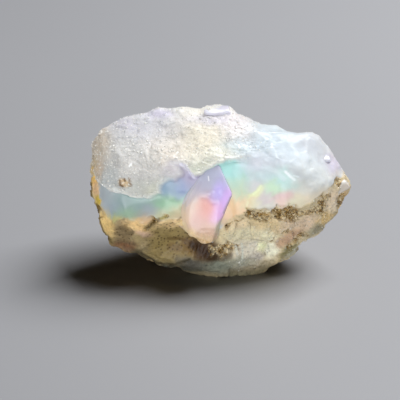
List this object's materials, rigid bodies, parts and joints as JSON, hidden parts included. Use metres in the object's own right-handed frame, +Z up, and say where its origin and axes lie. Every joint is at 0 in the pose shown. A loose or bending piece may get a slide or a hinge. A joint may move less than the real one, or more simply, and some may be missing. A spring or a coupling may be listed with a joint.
{
  "type": "rough opal specimen",
  "caption": "Rough milky opal specimen: a white sugary crust over clear opal with play-of-colour, on pitted tan host rock, resting on a flat underside.",
  "frame": {"origin": "bottom centre of the bounding box, in the plane of the flat that the stone rests on", "axes": "+X along the stone's length towards its narrow right end, +Y away from the side shown, +Z up"},
  "size_m": [0.0478, 0.024, 0.0291],
  "materials": {
    "opal": "milky opal, glossy on fracture faces, sugary on the crust and gritty on the host rock"
  },
  "bodies": {
    "root": {"opal_stone": "opal"}
  },
  "joints": []
}
